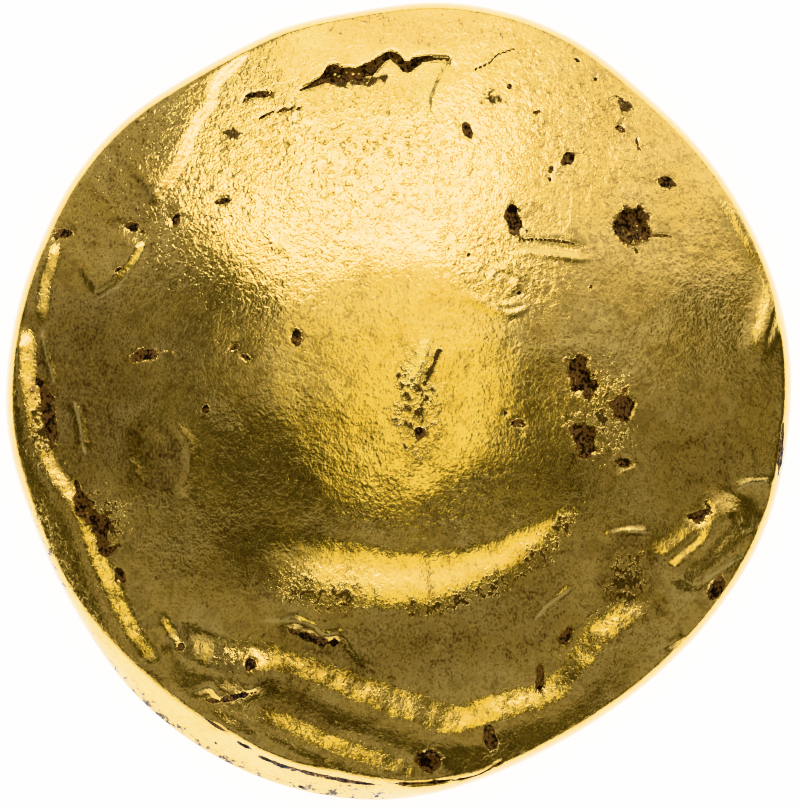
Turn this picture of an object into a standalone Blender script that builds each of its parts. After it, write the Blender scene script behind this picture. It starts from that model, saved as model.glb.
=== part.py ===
"""A hand-struck gold stater, lying on its dished side with the bossed side up.

The coin is one solid. A round blank is turned, and the strike then moves its points:
the outline gets its flats, the upper face its dome, trough, lips and laps, and the
underside its dish with a worn fan of ribs. Sizes are in metres, and +Z is up.
"""

import math

import bpy
import numpy as np

# The flan.
FLAN_RADIUS = 0.0085
CREST_HEIGHT = 0.0014
EDGE_HEIGHT = 0.0008
SHOULDER_WIDTH = 0.00035
LOWER_ROUNDING = 0.0009

# The struck face.
DOME_RISE = 0.0015
APEX_SHIFT = 0.0004
TROUGH_DEPTH = 0.00026
TROUGH_INNER_WIDTH = 0.00042
TROUGH_OUTER_WIDTH = 0.00085
WIDE_SHOULDER = 0.00055
WIDE_SHOULDER_BEARING = math.radians(246)
WIDE_SHOULDER_SPREAD = math.radians(38)

# The underside.
REST_BAND_WIDTH = 0.0007
DISH_DEPTH = 0.0013
DISH_WALL_WIDTH = 0.0052
RIB_HEIGHT = 0.00016
RIB_COUNT = 9
FAN_OPENING = math.radians(150)
FAN_BEARING = math.radians(70)

# How finely the blank is turned.
SEGMENTS = 90
FACE_RINGS = 32
SHOULDER_RINGS = 5
LOWER_RINGS = 4
UNDERSIDE_RINGS = 10
RING_CROWDING = 1.15

# Bulges and flats of the outline: bearing and spread in degrees, and the change of radius.
OUTLINE_CHANGES = (
    (74, 17, 0.00026),
    (119, 9, -0.00010),
    (142, 9, 0.00006),
    (206, 17, -0.00022),
    (254, 18, 0.00010),
    (306, 26, -0.00046),
    (344, 18, -0.00013),
)

# Raised lines of the struck face. A path's points are shares of the flan's radius, with the
# coin's middle at nought, and each side of the line has its own width.
RAISED_LINES = {
    "lower_line": {
        "path": ((-0.36, -0.655), (-0.18, -0.72), (0.0, -0.795), (0.11, -0.84), (0.20, -0.85)),
        "height": 0.00020,
        "inner_width": 0.00046,
        "outer_width": 0.00026,
    },
    "rim_line": {
        "path": ((-0.50, -0.715), (-0.34, -0.80), (-0.14, -0.885), (0.07, -0.935)),
        "height": 0.00016,
        "inner_width": 0.00040,
        "outer_width": 0.00024,
    },
    "right_line": {
        "path": ((0.20, -0.80), (0.33, -0.785), (0.43, -0.715), (0.48, -0.62), (0.56, -0.55), (0.66, -0.51)),
        "height": 0.00016,
        "inner_width": 0.00042,
        "outer_width": 0.00030,
    },
    "left_lip": {
        "path": ((-0.90, 0.30), (-0.925, 0.0), (-0.895, -0.19), (-0.83, -0.37), (-0.73, -0.53), (-0.60, -0.68)),
        "height": 0.00020,
        "inner_width": 0.00034,
        "outer_width": 0.00028,
    },
    "top_lap": {
        "path": ((-0.36, 0.79), (-0.25, 0.80), (-0.12, 0.85), (0.0, 0.885), (0.12, 0.85), (0.28, 0.80)),
        "height": 0.00012,
        "inner_width": 0.00014,
        "outer_width": 0.00075,
    },
    "upper_fold": {
        "path": ((0.68, -0.40), (0.78, -0.33), (0.86, -0.25), (0.94, -0.20)),
        "height": 0.00013,
        "inner_width": 0.00030,
        "outer_width": 0.00018,
    },
    "lower_fold": {
        "path": ((0.68, -0.44), (0.76, -0.47), (0.82, -0.43), (0.88, -0.38)),
        "height": 0.00012,
        "inner_width": 0.00022,
        "outer_width": 0.00016,
    },
}

# The trough round the foot of the boss, as shares of the flan's radius.
TROUGH_PATH = (
    (-0.52, -0.17),
    (-0.38, -0.29),
    (-0.22, -0.36),
    (0.0, -0.385),
    (0.18, -0.36),
    (0.34, -0.29),
    (0.50, -0.17),
)

# Broad dents and swellings of the face: place and spread as shares of the radius, and the rise.
BROAD_FORMS = (
    (0.71, -0.50, 0.07, -0.00012),
    (0.55, 0.10, 0.20, 0.00005),
    (-0.62, 0.10, 0.22, -0.00004),
)

GOLD = (0.93, 0.63, 0.13, 1.0)


def clear_scene():
    """Removes whatever the file held before."""
    for old in list(bpy.data.objects):
        bpy.data.objects.remove(old, do_unlink=True)


def gold_material():
    """Returns the worn gold of the coin."""
    material = bpy.data.materials.new("worn_gold")
    material.use_nodes = True
    shader = material.node_tree.nodes["Principled BSDF"]
    shader.inputs["Base Color"].default_value = GOLD
    shader.inputs["Metallic"].default_value = 1.0
    shader.inputs["Roughness"].default_value = 0.28
    return material


def smooth_step(share):
    """Rises from nought to one with level ends."""
    share = np.clip(share, 0.0, 1.0)
    return share * share * (3.0 - 2.0 * share)


def blank_profile():
    """Returns the blank's half section as (radius, height) points, from the top's middle round the edge."""
    face_radius = FLAN_RADIUS - SHOULDER_WIDTH
    points = []
    for ring in range(FACE_RINGS):
        share = 1.0 - (1.0 - ring / FACE_RINGS) ** RING_CROWDING
        points.append((share * face_radius, CREST_HEIGHT))
    for ring in range(SHOULDER_RINGS):
        turn = 0.5 * math.pi * ring / SHOULDER_RINGS
        points.append(
            (
                face_radius + SHOULDER_WIDTH * math.sin(turn),
                EDGE_HEIGHT + (CREST_HEIGHT - EDGE_HEIGHT) * math.cos(turn),
            )
        )
    for ring in range(LOWER_RINGS):
        turn = 0.5 * math.pi * ring / LOWER_RINGS
        points.append(
            (
                FLAN_RADIUS - LOWER_ROUNDING * (1.0 - math.cos(turn)),
                EDGE_HEIGHT * (1.0 - math.sin(turn)),
            )
        )
    flat_radius = FLAN_RADIUS - LOWER_ROUNDING
    points.append((flat_radius, 0.0))
    band_radius = flat_radius - REST_BAND_WIDTH
    for ring in range(UNDERSIDE_RINGS + 1):
        points.append((band_radius * (1.0 - ring / UNDERSIDE_RINGS), 0.0))
    return points


def turned_blank():
    """Returns the mesh of the blank: its half section turned once about Z."""
    outline = bpy.data.meshes.new("blank_section")
    points = [(radius, 0.0, height) for radius, height in blank_profile()]
    outline.from_pydata(points, [(n, n + 1) for n in range(len(points) - 1)], [])
    blank = bpy.data.objects.new("blank", outline)
    bpy.context.scene.collection.objects.link(blank)
    turning = blank.modifiers.new("Turning", "SCREW")
    turning.steps = SEGMENTS
    turning.render_steps = SEGMENTS
    turning.use_merge_vertices = True
    turning.merge_threshold = 1e-6
    bpy.context.view_layer.update()
    evaluated = blank.evaluated_get(bpy.context.evaluated_depsgraph_get())
    mesh = bpy.data.meshes.new_from_object(evaluated)
    bpy.data.objects.remove(blank, do_unlink=True)
    return mesh


def bearing_gap(bearing, centre):
    """Returns the smaller angle between each bearing and centre, in radians."""
    return np.abs((bearing - centre + math.pi) % (2.0 * math.pi) - math.pi)


def outline_radius(bearing):
    """Returns the edge's distance from the middle at each bearing."""
    radius = np.full_like(bearing, FLAN_RADIUS)
    for centre, spread, change in OUTLINE_CHANGES:
        gap = bearing_gap(bearing, math.radians(centre)) / math.radians(spread)
        radius += change * np.exp(-(gap**2) * (1.0 + gap**2) / 2.0)
    return radius


def shoulder_width(bearing):
    """Returns the width of the rounded shoulder, which is broad at the lower left."""
    gap = bearing_gap(bearing, WIDE_SHOULDER_BEARING) / WIDE_SHOULDER_SPREAD
    return SHOULDER_WIDTH + WIDE_SHOULDER * np.exp(-(gap**4))


def smooth_path(points, steps=8):
    """Returns points along a smooth curve through a path's own points, in metres."""
    given = np.array(points) * FLAN_RADIUS
    ends = np.vstack([2 * given[0] - given[1], given, 2 * given[-1] - given[-2]])
    found = []
    for before, start, end, after in zip(ends, ends[1:], ends[2:], ends[3:]):
        for share in np.arange(steps) / steps:
            found.append(
                0.5
                * (
                    2 * start
                    + (end - before) * share
                    + (2 * before - 5 * start + 4 * end - after) * share**2
                    + (3 * start - before - 3 * end + after) * share**3
                )
            )
    found.append(given[-1])
    return np.array(found)


def offset_from_path(x, y, points):
    """Measures each place against a path.

    Returns the distance, positive on the side nearer the coin's middle, and the share of
    the path's length at the nearest point.
    """
    line = smooth_path(points)
    best = np.full(x.shape, np.inf)
    side = np.zeros(x.shape)
    share = np.zeros(x.shape)
    spans = np.linalg.norm(np.diff(line, axis=0), axis=1)
    travelled = np.concatenate([[0.0], np.cumsum(spans)])
    for start, end, before, span in zip(line, line[1:], travelled, spans):
        along = end - start
        t = np.clip(((x - start[0]) * along[0] + (y - start[1]) * along[1]) / span**2, 0.0, 1.0)
        near_x, near_y = start[0] + t * along[0], start[1] + t * along[1]
        distance = np.hypot(x - near_x, y - near_y)
        nearer = distance < best
        best = np.where(nearer, distance, best)
        inward = np.hypot(near_x, near_y) - np.hypot(x, y)
        side = np.where(nearer, np.where(inward >= 0.0, 1.0, -1.0), side)
        share = np.where(nearer, (before + t * span) / travelled[-1], share)
    return best * side, share


def tapered(share, taper=0.18):
    """Fades a line in and out at its two ends."""
    return smooth_step(share / taper) * smooth_step((1.0 - share) / taper)


def raised_line(x, y, line):
    """Returns the height that one raised line adds."""
    offset, share = offset_from_path(x, y, line["path"])
    width = np.where(offset > 0.0, line["inner_width"], line["outer_width"])
    return line["height"] * np.exp(-((offset / width) ** 2)) * tapered(share)


def trough(x, y):
    """Returns the height that the trough below the boss takes away."""
    offset, share = offset_from_path(x, y, TROUGH_PATH)
    width = np.where(offset > 0.0, TROUGH_INNER_WIDTH, TROUGH_OUTER_WIDTH)
    return -TROUGH_DEPTH * np.exp(-((np.abs(offset) / width) ** 1.5)) * tapered(share, 0.35)


def struck_height(x, y):
    """Returns the height of the struck face above the table at each place."""
    bearing = np.arctan2(y, x)
    reach = np.hypot(x, y) / outline_radius(bearing)
    shift = APEX_SHIFT * (1.0 - smooth_step(reach))
    fall = np.hypot(x, y - shift) / outline_radius(bearing)
    height = CREST_HEIGHT + DOME_RISE * (1.0 - fall**2)
    for line in RAISED_LINES.values():
        height = height + raised_line(x, y, line)
    for across, up, spread, rise in BROAD_FORMS:
        gap = np.hypot(x / FLAN_RADIUS - across, y / FLAN_RADIUS - up) / spread
        height = height + rise * np.exp(-(gap**2))
    return height + trough(x, y)


def fan_ribs(x, y, wall):
    """Returns the worn ribs that fan out across the dish, fading at its middle and at its wall."""
    turn = np.arctan2(y, x) - FAN_BEARING
    turn = (turn + math.pi) % (2.0 * math.pi) - math.pi
    inside = smooth_step((0.5 * FAN_OPENING - np.abs(turn)) / math.radians(12))
    wave = 0.5 + 0.5 * np.cos(turn * 2.0 * math.pi * RIB_COUNT / FAN_OPENING)
    reach = np.hypot(x, y) / FLAN_RADIUS
    return RIB_HEIGHT * wave * inside * smooth_step(reach / 0.45) * smooth_step(2.0 * wall)


def dished_height(x, y):
    """Returns the height of the underside above the table: flat on the rest band, and dished within it."""
    bearing = np.arctan2(y, x)
    inward = outline_radius(bearing) - np.hypot(x, y) - LOWER_ROUNDING - REST_BAND_WIDTH
    wall = smooth_step(inward / DISH_WALL_WIDTH)
    return DISH_DEPTH * wall - fan_ribs(x, y, wall)


def strike(mesh):
    """Moves the blank's points to the struck shape."""
    count = len(mesh.vertices)
    blank = np.empty(count * 3)
    mesh.vertices.foreach_get("co", blank)
    blank = blank.reshape(-1, 3)
    reach = np.hypot(blank[:, 0], blank[:, 1])
    bearing = np.arctan2(blank[:, 1], blank[:, 0])
    upper = blank[:, 2] > EDGE_HEIGHT + 1e-9
    shoulder = np.where(upper, shoulder_width(bearing), LOWER_ROUNDING)
    old_shoulder = np.where(upper, SHOULDER_WIDTH, LOWER_ROUNDING)
    outer = outline_radius(bearing)
    level = FLAN_RADIUS - old_shoulder
    moved = np.where(
        reach <= level,
        reach / level * (outer - shoulder),
        outer - shoulder + (reach - level) / old_shoulder * shoulder,
    )
    x, y = moved * np.cos(bearing), moved * np.sin(bearing)
    rise = (blank[:, 2] - EDGE_HEIGHT) / (CREST_HEIGHT - EDGE_HEIGHT)
    top = EDGE_HEIGHT + rise * (struck_height(x, y) - EDGE_HEIGHT)
    drop = blank[:, 2] / EDGE_HEIGHT
    bottom = dished_height(x, y) * (1.0 - drop) + EDGE_HEIGHT * drop
    struck = np.column_stack([x, y, np.where(upper, top, bottom)])
    middle = 0.5 * (struck.min(axis=0) + struck.max(axis=0))
    struck[:, :2] -= middle[:2]
    mesh.vertices.foreach_set("co", struck.ravel())
    mesh.update()


def make_coin(material):
    """Returns the coin's object, lying on the table with its middle over the origin."""
    mesh = turned_blank()
    strike(mesh)
    mesh.name = "coin"
    mesh.materials.clear()
    mesh.materials.append(material)
    mesh.shade_smooth()
    return bpy.data.objects.new("coin", mesh)


def main():
    """Builds the coin in a collection of its own."""
    clear_scene()
    collection = bpy.data.collections.new("stater")
    bpy.context.scene.collection.children.link(collection)
    collection.objects.link(make_coin(gold_material()))


main()
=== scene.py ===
"""Looks of a hand-struck gold stater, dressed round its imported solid.

Places on the struck face are named values measured in the photograph, in pixels. Every size
is a real one, in millimetres, until the finished mesh is put down in metres.
"""

import logging
import math
from dataclasses import dataclass, field
from enum import Enum
from typing import ClassVar

import bmesh
import bpy
import numpy as np
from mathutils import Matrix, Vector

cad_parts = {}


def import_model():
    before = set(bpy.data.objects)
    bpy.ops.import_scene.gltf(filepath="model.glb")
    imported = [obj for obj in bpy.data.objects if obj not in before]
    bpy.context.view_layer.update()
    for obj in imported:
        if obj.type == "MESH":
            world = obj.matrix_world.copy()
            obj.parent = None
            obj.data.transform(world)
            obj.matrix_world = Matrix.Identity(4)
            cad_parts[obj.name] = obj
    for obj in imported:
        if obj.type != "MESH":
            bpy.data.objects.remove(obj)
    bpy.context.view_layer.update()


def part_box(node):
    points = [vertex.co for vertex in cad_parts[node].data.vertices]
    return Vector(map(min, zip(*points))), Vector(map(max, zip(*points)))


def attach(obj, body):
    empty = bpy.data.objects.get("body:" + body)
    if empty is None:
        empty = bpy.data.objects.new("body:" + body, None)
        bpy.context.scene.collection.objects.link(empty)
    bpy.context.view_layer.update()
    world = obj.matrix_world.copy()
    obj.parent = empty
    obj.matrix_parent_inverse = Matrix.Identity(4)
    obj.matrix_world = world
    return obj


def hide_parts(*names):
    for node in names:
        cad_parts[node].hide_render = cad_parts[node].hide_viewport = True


LOG = logging.getLogger("stater")

PHOTO_HEIGHT = 808
PHOTO_MIDDLE = (399.0, 404.0)
PIXEL = 0.02146
MILLIMETRE = 0.001
SOFT_REACH = 3.0
TINY = 1e-12

PALE_THREAD = ((186, 695), (209, 686), (225, 696), (264, 683))
RIGHT_CREASE = ((732, 492), (742, 484), (757, 482), (776, 483))
RIGHT_CREASE_SPUR = ((735, 529), (751, 526), (754, 511))
RIM_GROOVE = ((235, 738), (275, 763), (330, 777), (379, 783), (463, 778), (500, 762))


class Stain(Enum):
    """What lies on the gold, the highlights painted on it, and the mesh attribute that carries each."""

    PIT = "pit"
    DEPOSIT = "deposit"
    FILM = "film"
    HAMMER = "hammer"
    # Rubbed wear and painted highlight together: pale gold along crests, threads and edges.
    RUB_AND_HIGHLIGHT = "rub_and_highlight"


def smooth_step(share: np.ndarray) -> np.ndarray:
    """Rises from nought to one with level ends."""
    share = np.clip(share, 0.0, 1.0)
    return share * share * (3.0 - 2.0 * share)


def from_photo(place: tuple) -> np.ndarray:
    """Turns a place in the photograph into millimetres from the coin's middle."""
    return np.array([(place[0] - PHOTO_MIDDLE[0]) * PIXEL, (PHOTO_MIDDLE[1] - place[1]) * PIXEL])


def bearing_gap(bearing: np.ndarray, centre: float) -> np.ndarray:
    """Returns the smaller angle between each bearing and centre, in radians."""
    return np.abs((bearing - centre + math.pi) % (2.0 * math.pi) - math.pi)


def tapered(share: np.ndarray, taper: float) -> np.ndarray:
    """Fades a line in and out at its two ends."""
    return smooth_step(share / taper) * smooth_step((1.0 - share) / taper)


@dataclass
class Unevenness:
    """Smooth random values over a plane, the same ones each run."""

    seed: int = 7
    span: int = 256
    layer_shift: tuple = (17.3, 5.1)
    layer_total: float = 1.6
    table: np.ndarray = field(init=False)

    def __post_init__(self) -> None:
        """Draws the values that the lattice holds."""
        self.table = np.random.default_rng(self.seed).uniform(-1.0, 1.0, (self.span, self.span))

    def at(self, u: np.ndarray, v: np.ndarray) -> np.ndarray:
        """Returns the value, from -1 to 1, at each place of a lattice with steps of one."""
        left, low = np.floor(u).astype(int), np.floor(v).astype(int)
        du, dv = smooth_step(u - left), smooth_step(v - low)
        a = self.table[left % self.span, low % self.span]
        b = self.table[(left + 1) % self.span, low % self.span]
        c = self.table[left % self.span, (low + 1) % self.span]
        d = self.table[(left + 1) % self.span, (low + 1) % self.span]
        return (a * (1 - du) + b * du) * (1 - dv) + (c * (1 - du) + d * du) * dv

    def layered(self, u: np.ndarray, v: np.ndarray, layers: int = 3) -> np.ndarray:
        """Adds finer and fainter layers of values."""
        total = np.zeros_like(u)
        shift_u, shift_v = self.layer_shift
        for layer in range(layers):
            finer = 2.0**layer
            total += self.at(u * finer + shift_u * layer, v * finer + shift_v * layer) / finer
        return total / self.layer_total


@dataclass
class FacePlaces:
    """The places of the struck face's points, in millimetres from the coin's middle."""

    x: np.ndarray
    y: np.ndarray
    noise: Unevenness = field(default_factory=Unevenness)

    @staticmethod
    def smooth_path(path: tuple, steps: int = 12) -> np.ndarray:
        """Returns points along a smooth curve through a path's own places."""
        given = np.array([from_photo(place) for place in path])
        ends = np.vstack([2 * given[0] - given[1], given, 2 * given[-1] - given[-2]])
        found = []
        for before, start, end, after in zip(ends, ends[1:], ends[2:], ends[3:]):
            for share in np.arange(steps) / steps:
                bend = (2 * before - 5 * start + 4 * end - after) * share**2
                twist = (3 * start - before - 3 * end + after) * share**3
                found.append(0.5 * (2 * start + (end - before) * share + bend + twist))
        found.append(given[-1])
        return np.array(found)

    def against(self, path: tuple, reach: float) -> tuple:
        """Measures the places near a path against it.

        Args:
            path: The path's places in the photograph.
            reach: How far from the path places still count, in millimetres.

        Returns:
            The chosen places' indices, their distances from the path, positive on its left,
            the shares of its length at their nearest points, and its length.
        """
        line = self.smooth_path(path)
        low, high = line.min(axis=0) - reach, line.max(axis=0) + reach
        inside = (self.x > low[0]) & (self.x < high[0]) & (self.y > low[1]) & (self.y < high[1])
        chosen = np.flatnonzero(inside)
        x, y = self.x[chosen], self.y[chosen]
        best = np.full(x.shape, np.inf)
        side, share = np.ones(x.shape), np.zeros(x.shape)
        spans = np.linalg.norm(np.diff(line, axis=0), axis=1)
        travelled = np.concatenate([[0.0], np.cumsum(spans)])
        for start, end, before, span in zip(line, line[1:], travelled, spans):
            along = (end - start) / span
            forward = np.clip((x - start[0]) * along[0] + (y - start[1]) * along[1], 0.0, span)
            off_x, off_y = x - start[0] - forward * along[0], y - start[1] - forward * along[1]
            distance = np.hypot(off_x, off_y)
            nearer = distance < best
            best = np.where(nearer, distance, best)
            side = np.where(nearer, np.where(along[0] * off_y - along[1] * off_x >= 0, 1.0, -1.0), side)
            share = np.where(nearer, (before + forward) / travelled[-1], share)
        return chosen, best * side, share, travelled[-1]

    def round_spot(self, place: tuple, across: float, along: float, turn: float) -> tuple:
        """Measures all places against an ellipse.

        Returns:
            The places in the ellipse's own axes, where its rim lies at a distance of one.
        """
        middle, angle = from_photo(place), math.radians(turn)
        x, y = self.x - middle[0], self.y - middle[1]
        u = (x * math.cos(angle) + y * math.sin(angle)) / across
        v = (y * math.cos(angle) - x * math.sin(angle)) / along
        return u, v


@dataclass(frozen=True)
class Ridge:
    """A raised line, or a groove where its height is negative, with sides of their own widths."""

    name: str
    path: tuple
    height: float
    left: float
    right: float
    taper: float = 0.2
    crinkle: float = 0.0
    crinkle_cell: ClassVar[tuple] = (0.22, 0.5)

    def relief(self, face: FacePlaces) -> np.ndarray:
        """Returns the height that the line adds at each place."""
        chosen, offset, share, length = face.against(self.path, SOFT_REACH * max(self.left, self.right))
        width = np.where(offset > 0.0, self.left, self.right)
        height = self.height * np.exp(-((offset / width) ** 2)) * tapered(share, self.taper)
        along, across = self.crinkle_cell
        height *= 1.0 + self.crinkle * face.noise.layered(share * length / along, offset / across)
        added = np.zeros_like(face.x)
        added[chosen] = height
        return added


@dataclass(frozen=True)
class Welt:
    """A step that climbs on the left of its path and then falls away slowly."""

    name: str
    path: tuple
    rise: float
    climb: float
    fall: float
    taper: float = 0.2
    crinkle: float = 0.0
    wobble: float = 0.0
    roundness: float = 0.3
    start_width: float = 1.0
    end_width: float = 1.0
    start_rise: float = 1.0
    end_rise: float = 1.0
    wobble_cell: ClassVar[tuple] = (0.5, 2.0)
    wobble_shift: ClassVar[float] = 9.0
    fold_cell: ClassVar[tuple] = (0.2, 0.45)
    fold_fall: ClassVar[float] = 0.25

    def relief(self, face: FacePlaces) -> np.ndarray:
        """Returns the height that the welt adds at each place."""
        chosen, offset, share, length = face.against(self.path, self.climb + SOFT_REACH * self.fall)
        along, across = self.wobble_cell
        sway = face.noise.layered(share * length / along + self.wobble_shift, offset / across)
        offset = offset + self.wobble * sway
        scale = np.interp(share, (0.0, 0.5, 1.0), (self.start_width, 1.0, self.end_width))
        climb = self.climb * scale
        rise = self.rise * scale * np.interp(share, (0.0, 0.5, 1.0), (self.start_rise, 1.0, self.end_rise))
        way = np.clip(offset / climb, 0.0, 1.0)
        beyond = np.maximum(offset - climb, 0.0)
        height = rise * (way - self.roundness * np.sin(2.0 * math.pi * way) / (2.0 * math.pi))
        height *= np.exp(-((beyond / self.fall) ** 2))
        along, across = self.fold_cell
        folds = face.noise.layered(share * length / along, offset / across)
        height += self.crinkle * folds * smooth_step(2.0 * way) * np.exp(-((beyond / self.fold_fall) ** 2))
        added = np.zeros_like(face.x)
        added[chosen] = height * tapered(share, self.taper)
        return added


@dataclass(frozen=True)
class Pit:
    """A hole or dent, dark with earth where it is crusted."""

    name: str
    place: tuple
    across: float
    along: float
    turn: float = 0.0
    depth: float = 0.05
    ragged: float = 0.35
    crusted: bool = True
    bareness: float = 0.0
    torn_cell: ClassVar[float] = 0.16
    side_share: ClassVar[float] = 0.6

    def depth_share(self, face: FacePlaces) -> np.ndarray:
        """Returns one at the pit's middle, nought at its rim and less outside it."""
        u, v = face.round_spot(self.place, self.across, self.along, self.turn)
        torn = face.noise.layered(face.x / self.torn_cell + self.place[0], face.y / self.torn_cell, 2)
        return 1.0 - np.hypot(u, v) * (1.0 + self.ragged * torn)

    def relief(self, face: FacePlaces) -> np.ndarray:
        """Returns the height that the pit takes away."""
        return -self.depth * smooth_step(self.depth_share(face) / self.side_share)


@dataclass(frozen=True)
class Crack:
    """A narrow torn crack, dark with earth."""

    name: str
    path: tuple
    width: float
    depth: float = 0.04
    ragged: float = 0.5
    crusted: bool = True
    bareness: float = 0.0
    torn_cell: ClassVar[tuple] = (0.14, 0.3)
    reach: ClassVar[float] = 6.0
    taper: ClassVar[float] = 0.25
    end_width: ClassVar[float] = 0.25
    least_width: ClassVar[float] = 0.02
    far_outside: ClassVar[float] = -4.0

    def depth_share(self, face: FacePlaces) -> np.ndarray:
        """Returns one on the crack's line, nought at its edges and less outside it."""
        chosen, offset, share, length = face.against(self.path, self.reach * self.width)
        along, across = self.torn_cell
        torn = face.noise.layered(share * length / along + self.path[0][0], offset / across, 2)
        fullness = self.end_width + (1.0 - self.end_width) * tapered(share, self.taper)
        width = self.width * fullness * (1.0 + self.ragged * torn)
        found = np.full(face.x.shape, self.far_outside)
        found[chosen] = 1.0 - np.abs(offset) / np.maximum(width, self.least_width)
        return found

    def relief(self, face: FacePlaces) -> np.ndarray:
        """Returns the height that the crack takes away."""
        return -self.depth * smooth_step(self.depth_share(face))


@dataclass(frozen=True)
class Patch:
    """A soft-edged patch of a stain or a finish."""

    kind: Stain
    place: tuple
    across: float
    along: float
    turn: float = 0.0
    strength: float = 1.0
    edge_power: ClassVar[float] = 1.5

    def cover(self, face: FacePlaces) -> np.ndarray:
        """Returns how strongly each place is covered."""
        u, v = face.round_spot(self.place, self.across, self.along, self.turn)
        return self.strength * np.exp(-((u**2 + v**2) ** self.edge_power))


@dataclass(frozen=True)
class Streak:
    """A soft-edged streak of a stain along a path."""

    kind: Stain
    path: tuple
    width: float
    strength: float = 1.0
    taper: ClassVar[float] = 0.12

    def cover(self, face: FacePlaces) -> np.ndarray:
        """Returns how strongly each place is covered."""
        chosen, offset, share, _ = face.against(self.path, SOFT_REACH * self.width)
        found = np.zeros_like(face.x)
        found[chosen] = self.strength * np.exp(-((offset / self.width) ** 2)) * tapered(share, self.taper)
        return found


@dataclass(frozen=True)
class OutlineChange:
    """A bulge or flat of the outline: bearing and spread in degrees, change in millimetres."""

    bearing: float
    spread: float
    change: float


@dataclass
class FlanShape:
    """The flan's main forms, as the solid has them, in millimetres."""

    flan_radius: float = 8.49
    crest_height: float = 1.4
    edge_height: float = 0.8
    shoulder_width: float = 0.21
    lower_rounding: float = 0.9
    boss_place: tuple = (-0.19, 0.5)
    boss_radius: float = 2.6
    boss_turn: float = 0.3
    boss_drop: float = 0.05
    dome_curve: float = 0.03
    wide_shoulder: float = 0.42
    wide_shoulder_bearing: float = math.radians(246)
    wide_shoulder_spread: float = math.radians(28)
    rest_band_width: float = 0.7
    dish_depth: float = 1.3
    dish_wall_width: float = 5.2
    rib_height: float = 0.16
    rib_count: int = 9
    rib_start: float = 0.45
    round_power: float = 2.0
    bevel: float = 0.8
    fan_edge: float = math.radians(12)
    fan_opening: float = math.radians(150)
    fan_bearing: float = math.radians(70)
    outline_changes: tuple = (
        OutlineChange(74, 17, 0.26),
        OutlineChange(119, 9, -0.10),
        OutlineChange(142, 9, 0.06),
        OutlineChange(206, 17, -0.22),
        OutlineChange(254, 18, 0.10),
        OutlineChange(306, 26, -0.46),
        OutlineChange(344, 18, -0.13),
    )

    def outline_radius(self, bearing: np.ndarray) -> np.ndarray:
        """Returns the edge's distance from the middle at each bearing."""
        radius = np.full_like(bearing, self.flan_radius)
        for form in self.outline_changes:
            gap = bearing_gap(bearing, math.radians(form.bearing)) / math.radians(form.spread)
            radius += form.change * np.exp(-(gap**2) * (1.0 + gap**2) / 2.0)
        return radius

    def breadth_at(self, bearing: np.ndarray) -> np.ndarray:
        """Returns how much of the broad, bevelled shoulder each bearing has, from nought to one."""
        gap = bearing_gap(bearing, self.wide_shoulder_bearing) / self.wide_shoulder_spread
        return np.exp(-(gap**4))

    def shoulder_at(self, bearing: np.ndarray) -> np.ndarray:
        """Returns the width of the shoulder, which is broad at the lower left."""
        return self.shoulder_width + self.wide_shoulder * self.breadth_at(bearing)

    def shoulder_drop(self, bearing: np.ndarray, way: np.ndarray) -> np.ndarray:
        """Returns the share of the shoulder's height that is left at each share of its width."""
        power = self.round_power - self.bevel * self.breadth_at(bearing)
        return (1.0 - np.clip(way, 0.0, 1.0) ** power) ** (1.0 / power)

    def fall_from_boss(self, reach: np.ndarray) -> np.ndarray:
        """Returns how far the dome has dropped at a distance from the boss's middle."""
        gap = (reach - self.boss_radius) / self.boss_turn
        foot = self.boss_radius / self.boss_turn
        bend = np.logaddexp(gap, -gap) - np.logaddexp(foot, -foot)
        steeper = 0.5 * self.boss_drop * (reach + self.boss_turn * bend)
        return 0.5 * self.dome_curve * reach**2 + steeper

    def dome_height(self, x: np.ndarray, y: np.ndarray) -> np.ndarray:
        """Returns the height of the bossed face above the table, before its relief."""
        outer = self.outline_radius(np.arctan2(y, x))
        reach = np.hypot(x, y) / outer
        stay = 1.0 - smooth_step(reach)
        fall = np.hypot(x - self.boss_place[0] * stay, y - self.boss_place[1] * stay) / outer
        edge = self.fall_from_boss(np.array([self.flan_radius]))
        return self.crest_height + edge - self.fall_from_boss(fall * self.flan_radius)

    def fan_ribs(self, x: np.ndarray, y: np.ndarray, wall: np.ndarray) -> np.ndarray:
        """Returns the worn ribs that fan out across the dish."""
        turn = np.arctan2(y, x) - self.fan_bearing
        turn = (turn + math.pi) % (2.0 * math.pi) - math.pi
        inside = smooth_step((0.5 * self.fan_opening - np.abs(turn)) / self.fan_edge)
        wave = 0.5 + 0.5 * np.cos(turn * 2.0 * math.pi * self.rib_count / self.fan_opening)
        reach = np.hypot(x, y) / self.flan_radius
        outward = smooth_step(reach / self.rib_start)
        return self.rib_height * wave * inside * outward * smooth_step(2.0 * wall)

    def dished_height(self, x: np.ndarray, y: np.ndarray) -> np.ndarray:
        """Returns the height of the underside above the table."""
        inward = self.outline_radius(np.arctan2(y, x)) - np.hypot(x, y)
        wall = smooth_step((inward - self.lower_rounding - self.rest_band_width) / self.dish_wall_width)
        return self.dish_depth * wall - self.fan_ribs(x, y, wall)


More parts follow.
